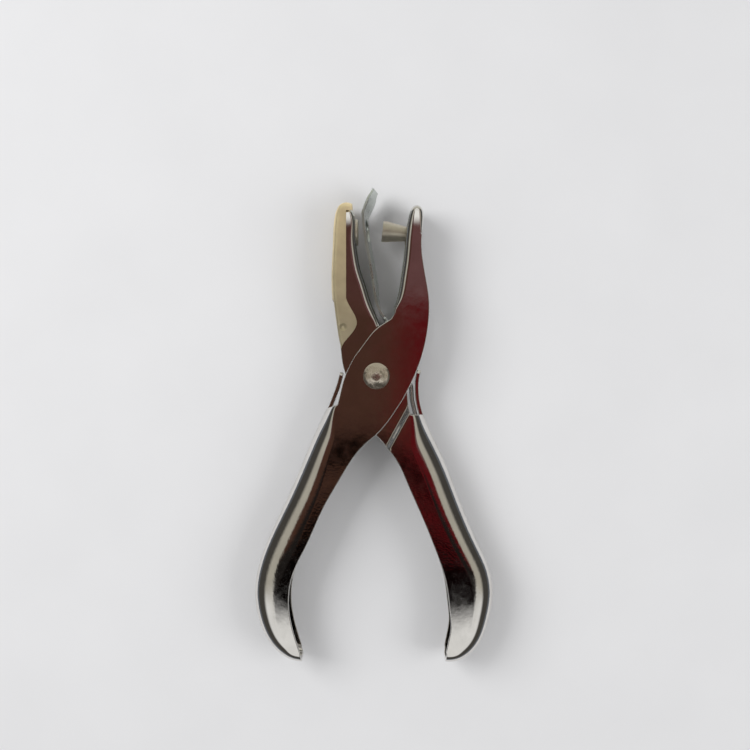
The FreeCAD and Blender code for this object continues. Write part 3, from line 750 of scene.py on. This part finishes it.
WIRE = 0.65             # radius of the wire
COIL = 4.2              # radius of the coil's middle line
PITCH = 1.45
LEG_GAP = 0.45          # from a leg to the web that it pushes on
WHOLE_TURNS = 3
FOOT_SHARE, TONGUE_SHARES, BACK_SHARE = 0.13, (0.28, 0.52, 0.80), 0.09


def return_spring(look):
    coil_points, path_parts, smoothings = 120, 260, 3
    inset = GAUGE + LEG_GAP + WIRE
    foot = at_share(PUNCH_BACK + left_normals(PUNCH_BACK) * inset, FOOT_SHARE)
    beside = DIE_TONGUE - left_normals(DIE_TONGUE) * inset
    hooks = [at_share(beside, share) for share in TONGUE_SHARES]
    hooks.append(at_share(DIE_BACK - left_normals(DIE_BACK) * inset, BACK_SHARE))
    start = math.atan2(foot[1], foot[0]) - math.acos(COIL / np.linalg.norm(foot))
    stop = math.atan2(hooks[0][1], hooks[0][0]) + math.acos(COIL / np.linalg.norm(hooks[0]))
    turns = WHOLE_TURNS + ((start - stop) / (2 * math.pi)) % 1
    low = MID - PITCH * turns / 2
    high = low + PITCH * turns
    path = [(foot[0], foot[1], low)]
    for t in np.linspace(0, 1, coil_points):
        a = start - 2 * math.pi * turns * t
        path.append((COIL * math.cos(a), COIL * math.sin(a), low + PITCH * turns * t))
    path += [(x, y, high) for x, y in hooks]
    path = even(path, path_parts)
    for _ in range(smoothings):
        path[1:-1] = (path[:-2] + 2 * path[1:-1] + path[2:]) / 4
    piece = place("Return_spring", tube("Return_spring", path, WIRE), None,
                  "return_spring", look)
    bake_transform(piece)


def tube(name, path, radius, around=16):
    """A round bar along a path, its two ends rounded over."""
    cap_depth, cap_spots = 0.6, (0.95, 0.8, 0.5, 0.0)
    ways = np.gradient(path, axis=0)
    ways /= np.linalg.norm(ways, axis=1)[:, None]
    side = np.cross(ways[0], (0, 0, 1))
    rings = []
    for i, (p, w) in enumerate(zip(path, ways)):
        side = side - w * (side @ w)
        side /= np.linalg.norm(side)
        other = np.cross(w, side)
        rows = [(p, radius)]
        if i in (0, len(path) - 1):
            out = -1 if i == 0 else 1
            rows = [(p + w * radius * s * out * cap_depth, radius * math.sqrt(1 - s * s))
                    for s in cap_spots][::-out]
        for spot, r in rows:
            rings.append([spot + (side * math.cos(a) + other * math.sin(a)) * r
                          for a in np.linspace(0, 2 * math.pi, around, endpoint=False)])
    points = [tuple(v * MM) for ring in rings for v in ring]
    faces = [(i * around + j, i * around + (j + 1) % around,
              (i + 1) * around + (j + 1) % around, (i + 1) * around + j)
             for i in range(len(rings) - 1) for j in range(around)]
    last = (len(rings) - 1) * around
    faces += [tuple(reversed(range(around))), tuple(range(last, last + around))]
    return mesh_of(name, points, faces)


# Shader nodes

def feed(tree, socket, value):
    """Gives a socket a plain value, or the output of another node."""
    if isinstance(value, bpy.types.NodeSocket):
        tree.links.new(value, socket)
    elif value is not None:
        socket.default_value = value


def add(tree, kind, inputs, output=0, **settings):
    """A new node with its settings and inputs; returns one of its outputs."""
    node = tree.nodes.new(kind)
    for name, value in settings.items():
        setattr(node, name, value)
    for socket, value in inputs.items():
        feed(tree, node.inputs[socket], value)
    return node.outputs[output]


def calc(tree, operation, a, b=None):
    return add(tree, "ShaderNodeMath", {0: a, 1: b}, operation=operation)


def spread(tree, value, low, high, kind="LINEAR"):
    """A value's share of the way from low to high."""
    return add(tree, "ShaderNodeMapRange", {"Value": value, "From Min": low, "From Max": high},
               interpolation_type=kind)


def mixed(tree, share, low, high, kind="MIX"):
    """Two colours blended."""
    low, high = ((*c, 1) if isinstance(c, tuple) else c for c in (low, high))
    return add(tree, "ShaderNodeMix", {0: share, 6: low, 7: high}, 2, data_type="RGBA",
               blend_type=kind)


def noise(tree, where, scale, detail=3.0, stretch=None):
    if stretch:
        where = add(tree, "ShaderNodeMapping", {"Vector": where, "Scale": stretch})
    return add(tree, "ShaderNodeTexNoise", {"Vector": where, "Scale": scale, "Detail": detail},
               "Fac")


def ramp(tree, value, *stops):
    node = tree.nodes.new("ShaderNodeValToRGB")
    while len(node.color_ramp.elements) < len(stops):
        node.color_ramp.elements.new(0.5)
    for element, (spot, color) in zip(node.color_ramp.elements, stops):
        element.position = spot
        element.color = (*color, 1) if isinstance(color, tuple) else (color, color, color, 1)
    feed(tree, node.inputs[0], value)
    return node.outputs[0]


def bump(tree, height, distance, under=None):
    return add(tree, "ShaderNodeBump", {"Height": height, "Distance": distance,
                                        "Strength": 1.0, "Normal": under})


def part(tree, where, axis):
    return add(tree, "ShaderNodeSeparateXYZ", {0: where}, axis)


# Materials

TINT_SCALE, TINT_DETAIL, TINT_STOPS = 160, 4.0, (0.32, 0.68)
WEAR_SCALE, WEAR_DETAIL, WEAR_STOPS = 420, 5.0, (0.3, 0.75)
RELIEF_DETAIL, GRAIN_DETAIL = 2.0, 1.5


def material(name):
    """A plain material, with its node tree, its shader and the place on the object."""
    look = bpy.data.materials.new(name)
    look.use_nodes = True
    tree = look.node_tree
    tree.nodes.clear()
    out = tree.nodes.new("ShaderNodeOutputMaterial")
    shader = tree.nodes.new("ShaderNodeBsdfPrincipled")
    tree.links.new(shader.outputs[0], out.inputs[0])
    return look, tree, shader, add(tree, "ShaderNodeTexCoord", {}, "Object")


def opened(look):
    """The same of a material that is there, to add to it."""
    tree = look.node_tree
    shader = next(n for n in tree.nodes if n.type == "BSDF_PRINCIPLED")
    return tree, shader, add(tree, "ShaderNodeTexCoord", {}, "Object")


def metal(name, dark, light, rough, relief, stretch=None, bare=1.0):
    """rough is (low, high), relief a list of (scale per metre, height in metres), and bare
    the share that is bare metal."""
    look, tree, shader, where = material(name)
    tint = ramp(tree, noise(tree, where, TINT_SCALE, TINT_DETAIL),
                *zip(TINT_STOPS, (dark, light)))
    wear = ramp(tree, noise(tree, where, WEAR_SCALE, WEAR_DETAIL, stretch),
                *zip(WEAR_STOPS, rough))
    normal = None
    for scale, height in relief:
        normal = bump(tree, noise(tree, where, scale, RELIEF_DETAIL, stretch), height, normal)
    feed(tree, shader.inputs["Metallic"], bare)
    feed(tree, shader.inputs["Base Color"], tint)
    feed(tree, shader.inputs["Roughness"], wear)
    feed(tree, shader.inputs["Normal"], normal)
    return look


def raised(tree, shader, height, distance):
    """Lays one more relief over a shader's own."""
    under = shader.inputs["Normal"].links[0].from_socket
    feed(tree, shader.inputs["Normal"], bump(tree, height, distance, under))


def pebbled(look, low, high, scale, height):
    """A grained zone along the middle of the handles, fading out towards its ends in Y."""
    tree, shader, where = opened(look)
    zone = ramp(tree, spread(tree, part(tree, where, "Y"), low, high),
                (0.0, 0.0), (0.22, 1.0), (0.6, 0.7), (1.0, 0.0))
    grain = calc(tree, "MULTIPLY", noise(tree, where, scale, GRAIN_DETAIL), zone)
    raised(tree, shader, grain, height)


def pressed(look, spot, radius, depth):
    """A round dent in a sheet, its bottom dished."""
    tree, shader, where = opened(look)
    far = add(tree, "ShaderNodeVectorMath", {0: where, 1: spot}, "Value", operation="DISTANCE")
    raised(tree, shader, spread(tree, far, 0.0, radius, "SMOOTHSTEP"), depth)


def painted_reflection_fade(look, low, high, painted_dark_end, painted_lit_end):
    """A painted reflection and shade over a metal's own colour, darker at one Y and brighter at
    the other.
    """
    tree, shader, where = opened(look)
    share = spread(tree, part(tree, where, "Y"), low, high)
    own = shader.inputs["Base Color"].links[0].from_socket
    tint = ramp(tree, share, (0.0, painted_dark_end), (1.0, painted_lit_end))
    feed(tree, shader.inputs["Base Color"], mixed(tree, 1.0, own, tint, "MULTIPLY"))


def dress(node, look):
    """Gives a piece that keeps its CAD shape a material."""
    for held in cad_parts[node].material_slots:
        held.link = "OBJECT"
        held.material = look


NICKEL = metal("Nickel_plate", (0.70, 0.68, 0.65), (0.79, 0.77, 0.74), (0.04, 0.11),
               [(45, 0.00005), (600, 0.000004)])
pebbled(NICKEL, -0.070, -0.020, 1700, 0.000013)
RIVET = metal("Rivet_steel", (0.52, 0.45, 0.37), (0.72, 0.65, 0.55), (0.22, 0.34),
              [(150, 0.0012), (420, 0.00030)])
WIRE_STEEL = metal("Spring_wire", (0.56, 0.56, 0.57), (0.70, 0.70, 0.70), (0.16, 0.30),
                   [(1800, 0.000004)])
TOOL = metal("Tool_steel", (0.56, 0.51, 0.42), (0.70, 0.65, 0.54), (0.40, 0.50),
             [(900, 0.0000008)], (1, 3, 3))
STRIP = metal("Strip_steel", (0.56, 0.60, 0.57), (0.72, 0.76, 0.72), (0.22, 0.36),
              [(900, 0.000004)], (1, 0.2, 1))
TRAY = metal("Tray_steel", (0.62, 0.54, 0.38), (0.78, 0.69, 0.50), (0.34, 0.48),
             [(420, 0.000008)], (0.2, 3.0, 1), 0.74)
# Painted reflection and shade: the tray's colour is painted darker towards the pivot and
# brighter towards the nose.
painted_reflection_fade(TRAY, 0.014, 0.052, (0.72, 0.71, 0.66), (1.27, 1.20, 1.02))
pressed(TRAY, (-0.0100, 0.0147, 0.01325), 0.0012, 0.0003)

punch_lever(NICKEL)
die_lever(NICKEL)
stripper_strip(STRIP)
return_spring(WIRE_STEEL)
punch_pin(TOOL)
die_bush(TOOL)
pivot_rivet(RIVET)
dress("pivot_bush", RIVET)
dress("chip_tray", TRAY)


# Floor and lamps, in metres

PALE = (0.78, 0.78, 0.79)
FLOOR_HALF = 1.5
FLOOR_Z = -0.0002
FLOOR_FADE = (0.30, 1.10)
PAPER_SCALE, PAPER_STOPS, PAPER_ROUGH = 30, (0.3, 0.7), 0.9
PAPER_DARK, PAPER_LIGHT = (0.73, 0.73, 0.74), (0.75, 0.75, 0.76)
LAMP_AIM = (0, -0.02, 0)
LAMP_SIZE = 0.5


def floor():
    """Pale paper, which fades into the colour behind it far from the punch."""
    look, tree, shader, where = material("Floor_paper")
    tint = ramp(tree, noise(tree, where, PAPER_SCALE),
                *zip(PAPER_STOPS, (PAPER_DARK, PAPER_LIGHT)))
    feed(tree, shader.inputs["Base Color"], tint)
    feed(tree, shader.inputs["Roughness"], PAPER_ROUGH)
    far = add(tree, "ShaderNodeVectorMath", {0: where}, "Value", operation="LENGTH")
    seen = calc(tree, "MULTIPLY", spread(tree, far, *FLOOR_FADE, "SMOOTHSTEP"),
                add(tree, "ShaderNodeLightPath", {}, "Is Camera Ray"))
    pale = add(tree, "ShaderNodeEmission", {"Color": (*PALE, 1)})
    mix = add(tree, "ShaderNodeMixShader", {0: seen, 1: shader.outputs[0], 2: pale})
    out = next(n for n in tree.nodes if n.type == "OUTPUT_MATERIAL")
    feed(tree, out.inputs[0], mix)
    mesh = bpy.data.meshes.new("Floor")
    corners = ((-1, -1), (1, -1), (1, 1), (-1, 1))
    mesh.from_pydata([(x * FLOOR_HALF, y * FLOOR_HALF, FLOOR_Z) for x, y in corners], [],
                     [(0, 1, 2, 3)])
    mesh.materials.append(look)
    sheet = stand("Floor", mesh)


def lamp(name, spot, power):
    data = bpy.data.lights.new(name, "AREA")
    data.shape = "RECTANGLE"
    data.size = data.size_y = LAMP_SIZE
    data.energy = power
    thing = stand(name, data)
    thing.location = spot
    thing.visible_glossy = False
    way = Vector(LAMP_AIM) - Vector(spot)
    thing.rotation_euler = way.to_track_quat("-Z", "Y").to_euler()


# What polished metal mirrors. A colour goes over into the next one along a span, a pair of
# limits for a direction's X, Y or Z, for |X| or for a mix of them.

CEILING_LEFT, CEILING_RIGHT = (0.066, 0.030, 0.020), (0.100, 0.006, 0.008)
CEILING_X = (-0.005, 0.045)
WALL_LEFT, WALL_RIGHT, WALL_X = (0.085, 0.036, 0.030), (0.135, 0.062, 0.062), (-0.01, 0.03)
WALL_Y = (0.060, 0.068)
SHADE_SPAN = (-0.20, 0.0)
SHADE_SLANT = 0.55
SHADE = [(0.0, 0.02), (0.38, 0.02), (0.46, 0.7), (0.57, 0.9), (0.61, 0.06), (0.72, 0.06),
         (0.77, 1.0)]
WANDER_SCALE, WANDER_DETAIL, WANDER = 14.0, 2.0, 0.05
FLANK, FLANK_ABS_X, FLANK_MINUS_Y = (0.012, 0.010, 0.009), (0.09, 0.14), (0.02, 0.06)
SIDE_WINDOW, FRONT_WINDOW, FRONT_MINUS_Y = (0.44, 0.42, 0.36), (0.82, 0.82, 0.81), (0.10, 0.30)
REAR_WINDOW, REAR_Y, REAR_Z = (0.95, 0.95, 0.93), (0.16, 0.22), (0.86, 0.90)
HORIZON, DARK_BAND, HORIZON_Z = (0.150, 0.166, 0.190), (0.062, 0.058, 0.052), (0.10, 0.34)
REAR_HORIZON, REAR_HORIZON_Y = (0.56, 0.56, 0.50), (0.45, 0.65)
WINDOW_Z = (0.66, 0.80)
CEILING_Z = (0.895, 0.925)
CEILING_Y_END = (0.22, 0.38)
FRONT_Y, FRONT_ABS_X, FRONT_END = -0.85, 0.5, (0.270, 0.310)
PLAIN_LIGHT = 0.5


def mirrored(tree):
    """The colour that a mirror shows in each direction."""
    where = add(tree, "ShaderNodeTexCoord", {}, "Generated")
    across, along, up = (part(tree, where, axis) for axis in "XYZ")

    def span(value, limits):
        return spread(tree, value, *limits, "SMOOTHSTEP")

    def less(share):
        return calc(tree, "SUBTRACT", 1.0, share)

    def times(a, b):
        return calc(tree, "MULTIPLY", a, b)

    width = calc(tree, "ABSOLUTE", across)
    front = times(along, -1.0)
    ceiling = mixed(tree, span(across, CEILING_X), CEILING_LEFT, CEILING_RIGHT)
    wall = mixed(tree, span(across, WALL_X), WALL_LEFT, WALL_RIGHT)
    ceiling = mixed(tree, span(along, WALL_Y), ceiling, wall)
    wander = calc(tree, "SUBTRACT", noise(tree, where, WANDER_SCALE, WANDER_DETAIL), 0.5)
    slant = times(calc(tree, "MAXIMUM", across, 0.0), SHADE_SLANT)
    depth = calc(tree, "ADD", calc(tree, "ADD", along, slant), times(wander, WANDER))
    shade = ramp(tree, spread(tree, depth, *SHADE_SPAN), *SHADE)
    ceiling = mixed(tree, 1.0, ceiling, shade, "MULTIPLY")
    flank = times(span(width, FLANK_ABS_X), span(front, FLANK_MINUS_Y))
    ceiling = mixed(tree, flank, ceiling, FLANK)

    window = mixed(tree, span(front, FRONT_MINUS_Y), SIDE_WINDOW, FRONT_WINDOW)
    window = mixed(tree, times(span(along, REAR_Y), span(up, REAR_Z)), window, REAR_WINDOW)
    low_down = mixed(tree, span(up, HORIZON_Z), HORIZON, DARK_BAND)
    low_down = mixed(tree, span(along, REAR_HORIZON_Y), low_down, REAR_HORIZON)
    ring = mixed(tree, span(up, WINDOW_Z), low_down, window)

    reach = calc(tree, "ADD", times(along, FRONT_Y), times(width, FRONT_ABS_X))
    overhead = times(span(up, CEILING_Z), less(span(reach, FRONT_END)))
    overhead = times(overhead, less(span(along, CEILING_Y_END)))
    return mixed(tree, overhead, ring, ceiling)


def surroundings():
    """Pale to the eye, plain light on the object, and a studio to what mirrors it."""
    world = bpy.data.worlds.new("Studio")
    bpy.context.scene.world = world
    world.use_nodes = True
    tree = world.node_tree
    tree.nodes.clear()
    mirror = add(tree, "ShaderNodeBackground", {"Color": mirrored(tree)})
    plain = add(tree, "ShaderNodeBackground", {"Color": (1, 1, 1, 1), "Strength": PLAIN_LIGHT})
    white = add(tree, "ShaderNodeBackground", {"Color": (*PALE, 1)})
    glossy = add(tree, "ShaderNodeLightPath", {}, "Is Glossy Ray")
    direct = add(tree, "ShaderNodeLightPath", {}, "Is Camera Ray")
    light = add(tree, "ShaderNodeMixShader", {0: glossy, 1: plain, 2: mirror})
    shown = add(tree, "ShaderNodeMixShader", {0: direct, 1: light, 2: white})
    out = tree.nodes.new("ShaderNodeOutputWorld")
    feed(tree, out.inputs["Surface"], shown)


# Camera: straight above the near cheeks, with the rivet where the photograph has it

PHOTO_PX = 750
PIVOT_PX = (376.4, 376.0)
PX = 0.30 * MM          # what one pixel covers at the cheeks
DISTANCE = 0.340
SENSOR = 36             # millimetres, as the lens is
CLIP_START = 0.01


def camera():
    data = bpy.data.cameras.new("Camera")
    data.sensor_width = SENSOR
    data.lens = SENSOR * DISTANCE / (PHOTO_PX * PX)
    data.clip_start = CLIP_START
    eye = stand("Camera", data)
    eye.location = ((PHOTO_PX / 2 - PIVOT_PX[0]) * PX, (PIVOT_PX[1] - PHOTO_PX / 2) * PX,
                    CHEEK_FACE * MM + DISTANCE)
    bpy.context.scene.camera = eye


floor()
surroundings()
lamp("Key", (-0.55, 0.25, 0.55), 4.0)
lamp("Fill", (0.6, -0.1, 0.5), 2.0)
camera()
bpy.context.scene.view_settings.view_transform = "Standard"
